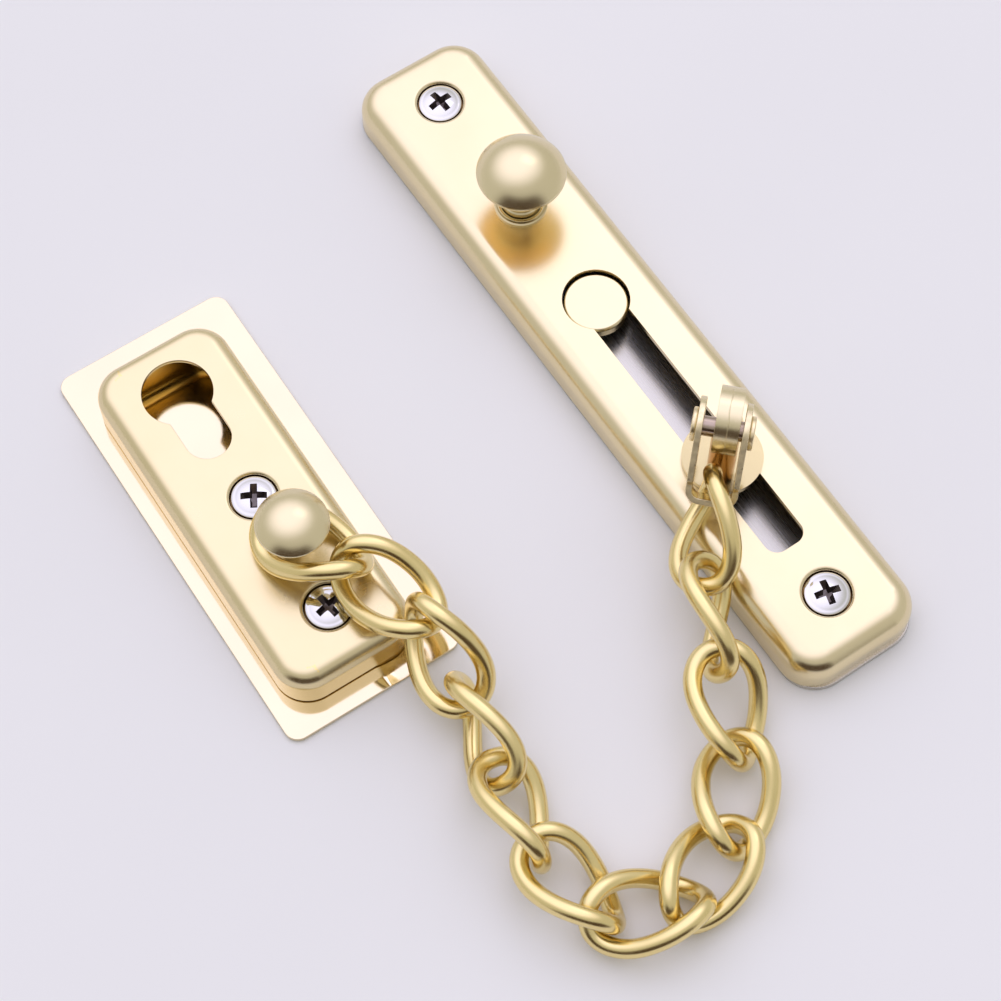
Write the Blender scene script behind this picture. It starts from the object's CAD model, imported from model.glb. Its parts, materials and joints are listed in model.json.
"""Looks of the door chain guard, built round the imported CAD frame.

The part's sizes are in millimetres and become Blender's metres through MM. Bumps, the floor, the
light and the camera are in metres.
"""
import json
import math

import bmesh
import bpy
from mathutils import Matrix, Vector

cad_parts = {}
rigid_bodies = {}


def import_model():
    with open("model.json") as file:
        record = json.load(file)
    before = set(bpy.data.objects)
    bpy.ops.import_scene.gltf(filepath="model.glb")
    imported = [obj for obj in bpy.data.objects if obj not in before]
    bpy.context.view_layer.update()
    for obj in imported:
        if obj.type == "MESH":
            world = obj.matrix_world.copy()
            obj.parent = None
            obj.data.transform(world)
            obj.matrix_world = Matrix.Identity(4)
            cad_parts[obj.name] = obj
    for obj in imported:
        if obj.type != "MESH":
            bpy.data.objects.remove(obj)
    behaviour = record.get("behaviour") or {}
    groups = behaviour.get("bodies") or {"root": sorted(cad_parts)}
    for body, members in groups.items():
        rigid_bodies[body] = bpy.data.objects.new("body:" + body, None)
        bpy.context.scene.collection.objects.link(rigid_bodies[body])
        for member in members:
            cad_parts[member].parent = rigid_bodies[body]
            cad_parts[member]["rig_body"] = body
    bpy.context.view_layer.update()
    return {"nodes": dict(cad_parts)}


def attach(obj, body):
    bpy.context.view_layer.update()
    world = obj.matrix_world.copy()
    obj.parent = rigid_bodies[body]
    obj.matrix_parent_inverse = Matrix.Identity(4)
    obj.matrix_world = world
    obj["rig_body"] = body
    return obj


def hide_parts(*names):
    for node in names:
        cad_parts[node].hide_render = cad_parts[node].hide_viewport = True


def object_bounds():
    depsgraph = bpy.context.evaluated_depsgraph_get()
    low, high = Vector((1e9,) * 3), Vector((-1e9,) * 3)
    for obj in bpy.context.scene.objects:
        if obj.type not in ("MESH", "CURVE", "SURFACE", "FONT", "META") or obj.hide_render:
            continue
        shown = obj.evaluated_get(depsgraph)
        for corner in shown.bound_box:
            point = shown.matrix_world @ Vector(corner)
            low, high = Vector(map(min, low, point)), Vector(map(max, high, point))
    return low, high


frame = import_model()
nodes = frame["nodes"]
scene = bpy.context.scene
MM = 0.001

# ---- sizes repeated from the part's source --------------------------------------------------

TRACK_FACE_Z = 8
KNOB_X = -32.3
KNOB_D, KNOB_DOME_H, KNOB_RIM_Z = 15.9, 4.3, 18.6
SLIDER_X = 28.7
EYE_Z = 22.4
SHACKLE_HEADING = -45
SHACKLE_DIP = 41
RIVET_FORWARD = 1.7
STRAP_Y = -0.7
ANCHOR_X, ANCHOR_Y, ANCHOR_TURN = -10.6, -70, -0.8
HOOD_FACE_Z = 9.1
POST_X, POST_Y = 13.4, 1
POST_D, POST_DOME_H, POST_RIM_Z = 12.5, 2.9, 19.2
SCREW_HEAD_D, SCREW_DOME_H, SCREW_SINK = 7.8, 1, 0.6
# each screw's place on its own plate, and the turn of its cross
SCREWS = {"track_screws": [(-58.5, 0, 6), (58.5, 0, 76)],
          "anchor_screws": [(1.2, 0, 60), (25.2, 0, 10)]}

WIRE_D = 3.2
LINK_L, LINK_W, LINK_TWIST, LINK_SQUARENESS = 19.2, 11.6, 82, 2.3
# The chain's lie, repeated from part.scad: where links cross, from the shackle to the post, and each
# link's roll. Both lists are the rounded output of a program that fitted the links to the photo, apart
# from the last point, which was moved by hand. report.md lists this as a fault.
JUNCTIONS = [(35, -7.5, 15.5), (45, -16, 12), (59, -22.5, 9), (71.5, -27.5, 5), (83.5, -37.5, 4.5),
             (88, -50, 5), (83, -61.5, 5), (67.5, -65, 7), (54, -62.5, 7), (39, -60, 7.5),
             (26.5, -59, 13), (12, -64, 14), (-1, -71.4, 12.5)]
ROLLS = [55, -75, -25, -10, -10, 10, 25, 50, -75, -45, -10, 10]


def turn(axis, degrees):
    return Matrix.Rotation(math.radians(degrees), 4, axis)


def shift(x, y=0, z=0):
    return Matrix.Translation((x * MM, y * MM, z * MM))


AT_ANCHOR = shift(ANCHOR_X, ANCHOR_Y) @ turn("Z", ANCHOR_TURN)
AT_POST = AT_ANCHOR @ shift(POST_X, POST_Y)
AT_KNOB = shift(KNOB_X)
AT_EYE = shift(SLIDER_X, 0, EYE_Z) @ turn("Z", SHACKLE_HEADING)
AT_STRAP = AT_EYE @ shift(RIVET_FORWARD) @ turn("Y", SHACKLE_DIP) @ shift(0, STRAP_Y)
TO_ANCHOR = AT_ANCHOR.inverted()
TO_EYE = AT_EYE.inverted()
TO_STRAP = AT_STRAP.inverted()


# ---- materials ------------------------------------------------------------------------------

class Shader:
    """A principled material and short calls for the nodes that feed it."""

    def __init__(self, name, color, rough, metallic=1.0):
        self.mat = bpy.data.materials.new(name)
        self.mat.use_nodes = True
        self.nodes = self.mat.node_tree.nodes
        self.links = self.mat.node_tree.links
        self.bsdf = self.nodes["Principled BSDF"]
        self.bsdf.inputs["Base Color"].default_value = (*color, 1)
        self.bsdf.inputs["Roughness"].default_value = rough
        self.bsdf.inputs["Metallic"].default_value = metallic
        self.coord = self.nodes.new("ShaderNodeTexCoord")

    def noise(self, scale, detail=3, stretch=(1, 1, 1), rough=0.5):
        mapping = self.nodes.new("ShaderNodeMapping")
        mapping.inputs["Scale"].default_value = stretch
        self.links.new(self.coord.outputs["Object"], mapping.inputs["Vector"])
        n = self.nodes.new("ShaderNodeTexNoise")
        n.inputs["Scale"].default_value = scale
        n.inputs["Detail"].default_value = detail
        n.inputs["Roughness"].default_value = rough
        self.links.new(mapping.outputs["Vector"], n.inputs["Vector"])
        return n.outputs["Fac"]

    def ramp(self, fac, low, high):
        """A blend from one colour to another; low and high are each a (place, colour)."""
        r = self.nodes.new("ShaderNodeValToRGB")
        for element, (place, color) in zip(r.color_ramp.elements, (low, high)):
            element.position = place
            element.color = (*color, 1)
        self.links.new(fac, r.inputs["Fac"])
        return r.outputs["Color"]

    def span(self, fac, low, high):
        """A noise's usual values, 0.3 to 0.7, spread from low to high."""
        m = self.nodes.new("ShaderNodeMapRange")
        m.inputs["From Min"].default_value, m.inputs["From Max"].default_value = 0.3, 0.7
        m.inputs["To Min"].default_value, m.inputs["To Max"].default_value = low, high
        self.links.new(fac, m.inputs["Value"])
        return m.outputs["Result"]

    def base(self, socket):
        self.links.new(socket, self.bsdf.inputs["Base Color"])

    def rough(self, socket):
        self.links.new(socket, self.bsdf.inputs["Roughness"])

    def bumps(self, layers):
        last = None
        for height, strength, distance in layers:
            b = self.nodes.new("ShaderNodeBump")
            b.inputs["Strength"].default_value = strength
            b.inputs["Distance"].default_value = distance
            self.links.new(height, b.inputs["Height"])
            if last:
                self.links.new(last, b.inputs["Normal"])
            last = b.outputs["Normal"]
        self.links.new(last, self.bsdf.inputs["Normal"])


def satin_gold(name, tone, rough, grain=0.25, smudge=90, tint=0.03):
    """Bead-blasted plating: even tone, slow smudges, a very fine grain."""
    s = Shader(name, tone, rough)
    slow = s.noise(smudge, 4)
    dim = tuple(max(c - tint, 0) for c in tone)
    s.base(s.ramp(slow, (0.3, dim), (0.7, tone)))
    s.rough(s.span(s.noise(smudge, 3), rough - 0.02, rough + 0.03))
    s.bumps([(s.noise(60, 3, (1, 40, 40)), grain, 0.000004)])
    return s.mat


def sheared(name, tone, rough):
    """Sheared strip under plating: pitted, with lighter and darker grains."""
    s = Shader(name, tone, rough)
    dim = tuple(c * 0.80 for c in tone)
    s.base(s.ramp(s.noise(800, 4), (0.40, dim), (0.60, tone)))
    s.rough(s.span(s.noise(500, 3), rough - 0.08, rough + 0.10))
    s.bumps([(s.noise(1100, 3), 0.45, 0.00006)])
    return s.mat


def polished(name, tone, rough, ripple=0.03):
    """Bright rolled plating: a mirror with faint waves and rubbed patches."""
    s = Shader(name, tone, rough)
    dim = tuple(c * 0.96 for c in tone)
    s.base(s.ramp(s.noise(60, 4), (0.35, dim), (0.65, tone)))
    s.rough(s.span(s.noise(240, 5), rough * 0.7, rough * 1.5))
    s.bumps([(s.noise(130, 2), ripple, 0.0004), (s.noise(1500, 3, (1, 12, 1)), 0.03, 0.00003)])
    return s.mat


def brushed(name, tone, rough, along=(1, 40, 40)):
    """Drawn strip: fine lines along one direction."""
    s = Shader(name, tone, rough)
    lines = s.noise(90, 6, along, 0.65)
    dim = tuple(c * 0.90 for c in tone)
    s.base(s.ramp(lines, (0.35, dim), (0.65, tone)))
    s.rough(s.span(lines, rough - 0.03, rough + 0.06))
    s.bumps([(lines, 0.10, 0.00002)])
    return s.mat


GOLD_TONE = (0.82, 0.70, 0.44)
M_TRACK = satin_gold("Gold_satin_track", GOLD_TONE, 0.23)
M_ANCHOR = satin_gold("Gold_satin_anchor", (0.81, 0.685, 0.41), 0.25)
M_TURNED = satin_gold("Gold_satin_turned", (0.81, 0.70, 0.44), 0.25, grain=0.2)
M_WIRE = satin_gold("Gold_satin_wire", (0.86, 0.70, 0.33), 0.23, grain=0.12, smudge=160)
M_SHEARED = sheared("Gold_sheared_strap", (0.95, 0.80, 0.50), 0.32)
M_PLATE = polished("Gold_polished_plate", (0.84, 0.72, 0.485), 0.07)
M_FLANGE = polished("Gold_polished_turned", (0.57, 0.47, 0.25), 0.11)
M_FLOOR = brushed("Steel_brushed_tray", (0.58, 0.55, 0.49), 0.26)
M_NECK = polished("Gold_polished_neck", (0.58, 0.28, 0.05), 0.18)
M_RIVET = polished("Rivet_shank", (0.46, 0.36, 0.28), 0.22)
M_SPRING = brushed("Steel_plain", (0.55, 0.54, 0.54), 0.30)
M_SCREW = polished("Nickel_bright", (0.74, 0.72, 0.68), 0.09)
M_RECESS = satin_gold("Nickel_recess", (0.24, 0.21, 0.20), 0.40, tint=0.10, smudge=900)
M_WELL = satin_gold("Gold_shaded_well", (0.26, 0.16, 0.07), 0.30)
M_INSIDE = satin_gold("Gold_bare_inside", (0.98, 0.72, 0.26), 0.24)

MATERIALS = {
    "track_cover": M_TRACK, "track_backplate": M_FLOOR, "knob_collar": M_FLANGE, "press_knob": M_TURNED,
    "knob_clip": M_SPRING, "knob_spring": M_SPRING, "release_lever": M_SPRING, "pivot_bracket": M_SPRING,
    "pivot_pin": M_SPRING, "blocker_disc": M_TRACK, "disc_rivet": M_SPRING, "track_screws": M_SCREW,
    "slider_foot": M_FLANGE, "slider_stud": M_TURNED, "shackle": M_SHEARED, "shackle_rivet": M_SHEARED,
    "anchor_plate": M_PLATE, "anchor_cover": M_ANCHOR, "anchor_post": M_TURNED, "post_washer": M_SPRING,
    "anchor_screws": M_SCREW,
}
LINKS = range(1, 13)
for number in LINKS:
    MATERIALS["link_%02d" % number] = M_WIRE


def dress(obj, mat):
    obj.data.materials.clear()
    obj.data.materials.append(mat)
    for p in obj.data.polygons:
        p.material_index = 0


for name, obj in nodes.items():
    dress(obj, MATERIALS[name])
    obj.data.shade_smooth()
    obj.data.set_sharp_from_angle(angle=math.radians(28))


# ---- mesh helpers ---------------------------------------------------------------------------

def new_object(name, bm, mat, sharp=30):
    mesh = bpy.data.meshes.new(name)
    bmesh.ops.recalc_face_normals(bm, faces=bm.faces)
    bm.to_mesh(mesh)
    bm.free()
    obj = bpy.data.objects.new(name, mesh)
    scene.collection.objects.link(obj)
    mesh.materials.append(mat)
    mesh.shade_smooth()
    mesh.set_sharp_from_angle(angle=math.radians(sharp))
    return obj


def apply_modifiers(obj):
    depsgraph = bpy.context.evaluated_depsgraph_get()
    baked = bpy.data.meshes.new_from_object(obj.evaluated_get(depsgraph))
    obj.modifiers.clear()
    obj.data = baked


def stand_for(obj, name):
    """Puts a visual piece in the place of the CAD node with this name."""
    body = nodes[name]["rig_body"]
    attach(obj, body)
    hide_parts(name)
    return obj


def retint(obj, mat, to_frame, test):
    """Gives a material to the faces whose centre (mm) and normal, seen in a frame, pass a test."""
    obj.data.materials.append(mat)
    index = len(obj.data.materials) - 1
    spin = to_frame.to_3x3()
    for p in obj.data.polygons:
        if test((to_frame @ p.center) / MM, spin @ p.normal):
            p.material_index = index


def arc(cx, cz, r, start, end, steps=6):
    """Points of an arc in a lathe outline: centre (cx, cz), angles in degrees from +r."""
    return [(cx + r * math.cos(math.radians(start + (end - start) * i / steps)),
             cz + r * math.sin(math.radians(start + (end - start) * i / steps)))
            for i in range(steps + 1)]


def ring(bm, at, centre, across, beside, sides):
    """A ring of vertices round a centre; across and beside are its half axes."""
    return [bm.verts.new(at @ ((centre + across * math.cos(2 * math.pi * m / sides)
                                + beside * math.sin(2 * math.pi * m / sides)) * MM))
            for m in range(sides)]


def level_ring(bm, at, r, z, sides):
    return [bm.verts.new(at @ Vector((r * MM * math.cos(2 * math.pi * i / sides),
                                      r * MM * math.sin(2 * math.pi * i / sides), z * MM)))
            for i in range(sides)]


def bridge(bm, rings, closed):
    """Joins neighbouring rings with quads, and the last to the first when closed."""
    after = rings[1:] + rings[:1] if closed else rings[1:]
    for a, b in zip(rings, after):
        for i in range(len(a)):
            k = (i + 1) % len(a)
            bm.faces.new((a[i], a[k], b[k], b[i]))


def lathe_into(bm, outline, at, steps=72):
    """Turns an outline of (radius, height), from axis to axis, about local Z."""
    rings = [level_ring(bm, at, r, z, steps) if r > 1e-6 else [bm.verts.new(at @ Vector((0, 0, z * MM)))]
             for r, z in outline]
    for a, b in zip(rings, rings[1:]):
        for i in range(steps):
            k = (i + 1) % steps
            if len(a) == 1:
                bm.faces.new((a[0], b[k], b[i]))
            elif len(b) == 1:
                bm.faces.new((a[i], a[k], b[0]))
            else:
                bm.faces.new((a[i], a[k], b[k], b[i]))


def ball_radius(d, h):
    """Radius of the ball that a domed head of this diameter and height is cut from."""
    return (d * d / 4 + h * h) / (2 * h)


def dome(d, h, rim_z, edge=0.35, steps=18):
    """Outline of a domed head from its rounded rim up to the axis."""
    ball = ball_radius(d, h)
    half = math.degrees(math.asin(min(1, (d / 2 - edge * 0.6) / ball)))
    top = arc(0, rim_z + h - ball, ball, 90 - half, 90, steps)
    return arc(d / 2 - edge, rim_z - edge * 0.2, edge, -90, 20, 6) + top


def refine(name, default, rules=(), segments=3, mat=None):
    """A copy of a CAD node with its sharp edges rolled over; rules give other widths by place."""
    bm = bmesh.new()
    bm.from_mesh(nodes[name].data)
    bmesh.ops.remove_doubles(bm, verts=bm.verts, dist=2e-6)
    bmesh.ops.dissolve_limit(bm, angle_limit=math.radians(0.4), verts=bm.verts, edges=bm.edges)
    weight = bm.edges.layers.float.new("bevel_weight_edge")
    widest = max([default] + [w for _, w in rules])
    for e in bm.edges:
        if len(e.link_faces) == 2 and e.calc_face_angle(0) > math.radians(32):
            middle = (e.verts[0].co + e.verts[1].co) / 2 / MM
            width = default
            for test, w in rules:
                if test(middle):
                    width = w
                    break
            e[weight] = width / widest
    mesh = bpy.data.meshes.new(name + "_look")
    bm.to_mesh(mesh)
    bm.free()
    obj = bpy.data.objects.new(name + "_look", mesh)
    scene.collection.objects.link(obj)
    mesh.materials.append(mat or MATERIALS[name])
    bevel = obj.modifiers.new("edges", "BEVEL")
    bevel.limit_method = "WEIGHT"
    bevel.width = widest * MM
    bevel.segments = segments
    bevel.use_clamp_overlap = True
    bevel.harden_normals = False
    apply_modifiers(obj)
    obj.data.shade_smooth()
    obj.data.set_sharp_from_angle(angle=math.radians(40))
    weighted = obj.modifiers.new("normals", "WEIGHTED_NORMAL")
    weighted.keep_sharp = True
    weighted.weight = 80
    apply_modifiers(obj)
    return stand_for(obj, name)


# ---- chain ----------------------------------------------------------------------------------

def power(v, p):
    return math.copysign(abs(v) ** p, v)


def link_point(t):
    c, s = math.cos(t), math.sin(t)
    x = LINK_L / 2 * power(c, 2 / LINK_SQUARENESS)
    y = LINK_W / 2 * power(s, 2 / LINK_SQUARENESS)
    a = math.radians(-LINK_TWIST * x / LINK_L)
    return Vector((x, y * math.cos(a), y * math.sin(a)))


FINE_STEPS = 720


def even_path(count):
    """Points at even steps along the link's centreline, so the wire has no bunched rings."""
    fine = [link_point(2 * math.pi * i / FINE_STEPS) for i in range(FINE_STEPS)]
    run = [0.0]
    for i in range(FINE_STEPS):
        run.append(run[-1] + (fine[(i + 1) % FINE_STEPS] - fine[i]).length)
    points = []
    i = 0
    for k in range(count):
        goal = run[-1] * k / count
        while run[i + 1] < goal:
            i += 1
        f = (goal - run[i]) / (run[i + 1] - run[i])
        points.append(fine[i].lerp(fine[(i + 1) % FINE_STEPS], f))
    return points


def build_link(k):
    i = 12 - k
    start, end = Vector(JUNCTIONS[i]), Vector(JUNCTIONS[i + 1])
    run = end - start
    heading = math.degrees(math.atan2(run.y, run.x))
    dip = -math.degrees(math.atan2(run.z, math.hypot(run.x, run.y)))
    at = (Matrix.Translation((start + end) / 2 * MM) @ turn("Z", heading) @ turn("Y", dip)
          @ turn("X", ROLLS[i]))
    count, sides = 96, 20
    path = even_path(count)
    bm = bmesh.new()
    rings = []
    for j, c in enumerate(path):
        along = (path[(j + 1) % count] - path[j - 1]).normalized()
        out = (c - along * c.dot(along)).normalized()
        rings.append(ring(bm, at, c, out * (WIRE_D / 2), along.cross(out) * (WIRE_D / 2), sides))
    bridge(bm, rings, closed=True)
    name = "link_%02d" % k
    stand_for(new_object(name + "_look", bm, M_WIRE, 80), name)


for number in LINKS:
    build_link(number)


# ---- turned pieces --------------------------------------------------------------------------

def build_knob():
    bm = bmesh.new()
    outline = [(0, 5.3), (2.3, 5.3), (2.5, 5.5), (2.5, 6.9), (3.4, 6.9), (3.6, 7.1), (3.6, 10.1),
               (3.35, 10.3), (3.35, 10.9), (3.6, 11.1), (3.6, 15.8)]
    outline += arc(5.2, 15.8, 1.6, 180, 100, 6)
    outline += [(6.7, 17.8)]
    outline += dome(KNOB_D, KNOB_DOME_H, KNOB_RIM_Z)
    lathe_into(bm, outline, AT_KNOB, 96)
    knob = new_object("press_knob_look", bm, M_TURNED, 35)
    retint(knob, M_INSIDE, Matrix.Identity(4), lambda c, n: n.z < -0.5 and c.z > 15)
    stand_for(knob, "press_knob")


def build_collar():
    bm = bmesh.new()
    outline = [(3.7, 6.6), (4.9, 6.6), (4.9, 7.0), (4.2, 7.0), (4.2, 8.0), (4.75, 8.0), (4.75, 8.35),
               (4.45, 8.5), (4.45, 8.65)]
    outline += arc(4.1, 8.65, 0.35, 0, 90, 5) + arc(3.85, 8.85, 0.15, 90, 180, 3)
    bridge(bm, [level_ring(bm, AT_KNOB, r, z, 72) for r, z in outline], closed=True)
    stand_for(new_object("knob_collar_look", bm, M_FLANGE, 35), "knob_collar")


def build_post():
    bm = bmesh.new()
    outline = [(0, 6.5), (3.0, 6.5), (3.2, 6.7), (3.2, 7.1), (3.0, 7.3), (2.0, 7.3), (2.0, 9.1), (2.9, 9.1),
               (2.9, 16.6)]
    outline += arc(4.1, 16.8, 1.2, 180, 100, 5)
    outline += [(5.2, 18.4)]
    outline += dome(POST_D, POST_DOME_H, POST_RIM_Z, 0.4)
    lathe_into(bm, outline, AT_POST, 96)
    stand_for(new_object("anchor_post_look", bm, M_TURNED, 35), "anchor_post")


build_knob()
build_collar()
build_post()


def cross_cutter(at, top_z):
    """A tapered cross, as a screwdriver's point leaves it."""
    bm = bmesh.new()
    for angle in (0, 90):
        place = at @ turn("Z", angle)
        lower, upper = [], []
        for z, half_l, half_w, ring in ((top_z - 2.0, 1.2, 0.40, lower), (top_z + 0.6, 2.75, 0.68, upper)):
            for x, y in ((-1, -1), (1, -1), (1, 1), (-1, 1)):
                ring.append(bm.verts.new(place @ (Vector((x * half_l, y * half_w, z)) * MM)))
        bm.faces.new(lower[::-1])
        bm.faces.new(upper)
        for i in range(4):
            k = (i + 1) % 4
            bm.faces.new((lower[i], lower[k], upper[k], upper[i]))
    return new_object("cutter", bm, M_SCREW)


def build_screws(name, face_z, frame_at):
    rim_z = face_z - SCREW_SINK
    ball = ball_radius(SCREW_HEAD_D, SCREW_DOME_H)
    ball_z = rim_z + SCREW_DOME_H - ball
    half = math.degrees(math.asin(3.75 / ball))
    outline = [(0, 0.1), (1.8, 0.1), (1.95, 0.3), (1.95, rim_z - 1.95), (3.75, rim_z - 0.15)]
    outline += arc(3.72, rim_z + 0.03, 0.18, -45, 60, 4)
    outline += arc(0, ball_z, ball, 90 - half, 90, 10)[1:]

    def in_cross(c, n):
        skin = ball_z + math.sqrt(max(ball * ball - c.x * c.x - c.y * c.y, 0))
        return c.z > rim_z - 1.6 and math.hypot(c.x, c.y) < 2.75 and c.z < skin - 0.04

    made = []
    for x, y, angle in SCREWS[name]:
        at = frame_at @ shift(x, y) @ turn("Z", angle)
        bm = bmesh.new()
        lathe_into(bm, outline, at, 72)
        body = new_object("screw", bm, M_SCREW)
        cut = cross_cutter(at, rim_z + 0.9)
        boolean = body.modifiers.new("cross", "BOOLEAN")
        boolean.operation = "DIFFERENCE"
        boolean.solver = "EXACT"
        boolean.use_self = True
        boolean.object = cut
        bevel = body.modifiers.new("edge", "BEVEL")
        bevel.limit_method = "ANGLE"
        bevel.angle_limit = math.radians(40)
        bevel.width = 0.07 * MM
        bevel.segments = 2
        apply_modifiers(body)
        bpy.data.objects.remove(cut)
        retint(body, M_RECESS, at.inverted(), in_cross)
        made.append(body)
    bm = bmesh.new()
    for body in made:
        bm.from_mesh(body.data)
        bpy.data.objects.remove(body)
    obj = new_object(name + "_look", bm, M_SCREW, 35)
    obj.data.materials.append(M_RECESS)
    stand_for(obj, name)


build_screws("track_screws", TRACK_FACE_Z, Matrix.Identity(4))
build_screws("anchor_screws", HOOD_FACE_Z, AT_ANCHOR)


# ---- stamped pieces -------------------------------------------------------------------------

def shade_wells(cover, to_frame, face_z, screws):
    """Darker plating low in the screw wells, as in the photo."""
    def in_well(c, n):
        from_axis = min(math.hypot(c.x - x, c.y - y) for x, y, _ in screws)
        return from_axis < 4.4 and face_z - 2.6 < c.z < face_z - 0.45

    retint(cover, M_WELL, to_frame, in_well)


def inside_hood(c, n):
    return n.z < -0.3 or (abs(c.y) > 7 and n.y * c.y < 0) or (c.x < -26 and n.x > 0.2 and c.z < 8)


shade_wells(refine("track_cover", 0.16), Matrix.Identity(4), TRACK_FACE_Z, SCREWS["track_screws"])
hood = refine("anchor_cover", 0.14)
shade_wells(hood, TO_ANCHOR, HOOD_FACE_Z, SCREWS["anchor_screws"])
retint(hood, M_INSIDE, TO_ANCHOR, inside_hood)
refine("anchor_plate", 0.12)
refine("track_backplate", 0.15)
refine("blocker_disc", 0.12)


# ---- stud and shackle -----------------------------------------------------------------------

def on_eye_rim(p):
    c = TO_EYE @ (p * MM) / MM
    return math.hypot(c.x, c.z) > 4.6 and abs(c.y) > 1.8


def under_eye(c, n):
    return math.hypot(c.x, c.z) > 6.1 and c.z < -4


def on_neck(c, n):
    return under_eye(c, n) and c.z > 9.5 - EYE_Z


stud = refine("slider_stud", 0.3, [(lambda p: p.z < 9.6, 0.15), (on_eye_rim, 0.8)], 4)
retint(stud, M_FLANGE, TO_EYE, under_eye)
retint(stud, M_NECK, TO_EYE, on_neck)
strap = refine("shackle", 0.14, mat=M_TURNED)
retint(strap, M_SHEARED, TO_STRAP, lambda c, n: abs(n.z) > 0.5)
rivet = refine("shackle_rivet", 0.22)
retint(rivet, M_RIVET, TO_STRAP, lambda c, n: abs(c.y) < 3.6)


def build_parting_line():
    """The thin raised line that the casting mould leaves round the eye."""
    bm = bmesh.new()
    steps, sides = 90, 6
    rings = []
    for i in range(steps + 1):
        a = math.radians(-40 + 260 * i / steps)
        wander = 0.10 * math.sin(3 * a) + 0.06 * math.sin(7 * a + 1)
        r = 0.10 + 0.05 * math.sin(11 * a) * math.sin(5 * a)
        if i in (0, steps):
            r = 0.02
        centre = Vector((5.68 * math.cos(a), wander, 5.68 * math.sin(a)))
        out = Vector((math.cos(a), 0, math.sin(a)))
        rings.append(ring(bm, AT_EYE, centre, out * (0.7 * r), Vector((0, r, 0)), sides))
    bridge(bm, rings, closed=False)
    bm.faces.new(rings[0][::-1])
    bm.faces.new(rings[-1])
    line = new_object("eye_parting_line", bm, M_TURNED, 80)
    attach(line, "stud")


build_parting_line()
refine("slider_foot", 0.15)


# ---- floor, light and camera ----------------------------------------------------------------

def build_floor():
    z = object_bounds()[0][2] - 0.00002
    bm = bmesh.new()
    count, size = 24, 3.0
    grid = [[bm.verts.new(((i / count - 0.5) * size, (j / count - 0.5) * size, z)) for j in range(count + 1)]
            for i in range(count + 1)]
    for i in range(count):
        for j in range(count):
            bm.faces.new((grid[i][j], grid[i + 1][j], grid[i + 1][j + 1], grid[i][j + 1]))
    s = Shader("Paper_pale", (0.86, 0.85, 0.80), 0.85, 0.0)
    s.base(s.ramp(s.noise(14, 3), (0.35, (0.855, 0.845, 0.795)), (0.65, (0.865, 0.855, 0.805))))
    s.bumps([(s.noise(900, 4), 0.05, 0.00005)])
    s.bsdf.inputs["Specular IOR Level"].default_value = 0.2
    floor = new_object("floor", bm, s.mat)


build_floor()


def facing(tree, ray, direction):
    """How nearly a ray points along a direction, from -1 to 1."""
    dot = tree.nodes.new("ShaderNodeVectorMath")
    dot.operation = "DOT_PRODUCT"
    tree.links.new(ray, dot.inputs[0])
    dot.inputs[1].default_value = direction
    return dot.outputs["Value"]


def soft_step(tree, value, low, high):
    step = tree.nodes.new("ShaderNodeMapRange")
    step.interpolation_type = "SMOOTHSTEP"
    step.inputs["From Min"].default_value = low
    step.inputs["From Max"].default_value = high
    tree.links.new(value, step.inputs["Value"])
    return step.outputs["Result"]


def build_world():
    """Brightest and bluest overhead, a little to -X, with a dark patch low on the camera's side."""
    world = bpy.data.worlds.new("studio")
    scene.world = world
    world.use_nodes = True
    tree = world.node_tree
    background = tree.nodes["Background"]
    coord = tree.nodes.new("ShaderNodeTexCoord")
    ray = coord.outputs["Generated"]
    split = tree.nodes.new("ShaderNodeSeparateXYZ")
    tree.links.new(ray, split.inputs["Vector"])
    overhead = facing(tree, ray, Vector((-0.38, 0.09, 0.92)).normalized())
    sky = tree.nodes.new("ShaderNodeMixRGB")
    sky.inputs["Color1"].default_value = (0.645, 0.64, 0.635, 1)
    sky.inputs["Color2"].default_value = (1.42, 1.39, 1.76, 1)
    tree.links.new(soft_step(tree, overhead, 0.52, 0.97), sky.inputs["Fac"])
    patch = tree.nodes.new("ShaderNodeMath")
    patch.operation = "MULTIPLY"
    tree.links.new(soft_step(tree, facing(tree, ray, (0.83, -0.56, 0)), 0.50, 0.78), patch.inputs[0])
    tree.links.new(soft_step(tree, split.outputs["Z"], 0.69, 0.49), patch.inputs[1])
    mix = tree.nodes.new("ShaderNodeMixRGB")
    mix.inputs["Color2"].default_value = (0.070, 0.045, 0.030, 1)
    tree.links.new(patch.outputs["Value"], mix.inputs["Fac"])
    tree.links.new(sky.outputs["Color"], mix.inputs["Color1"])
    tree.links.new(mix.outputs["Color"], background.inputs["Color"])
    background.inputs["Strength"].default_value = 1.0


def build_softbox():
    light = bpy.data.lights.new("softbox_top", "AREA")
    light.shape = "RECTANGLE"
    light.size = 0.5
    light.size_y = 0.4
    light.energy = 0.25
    softbox = bpy.data.objects.new("softbox_top", light)
    scene.collection.objects.link(softbox)
    away = Vector((-0.35, 0.55, 0.9)).normalized()
    softbox.location = Vector((0.01, -0.03, 0)) + away * 1.2
    softbox.rotation_euler = away.to_track_quat("Z", "Y").to_euler()


def build_camera():
    lens = bpy.data.cameras.new("camera")
    lens.lens = 93.15
    lens.sensor_width = 36
    lens.clip_start = 0.01
    camera = bpy.data.objects.new("camera", lens)
    scene.collection.objects.link(camera)
    camera.location = (0.1681, -0.1394, 0.4044)
    aim = Vector((0.01105, -0.0336, 0)) - camera.location
    camera.rotation_euler = aim.to_track_quat("-Z", "Y").to_euler()
    scene.camera = camera


build_world()
build_softbox()
build_camera()
scene.view_settings.view_transform = "Standard"
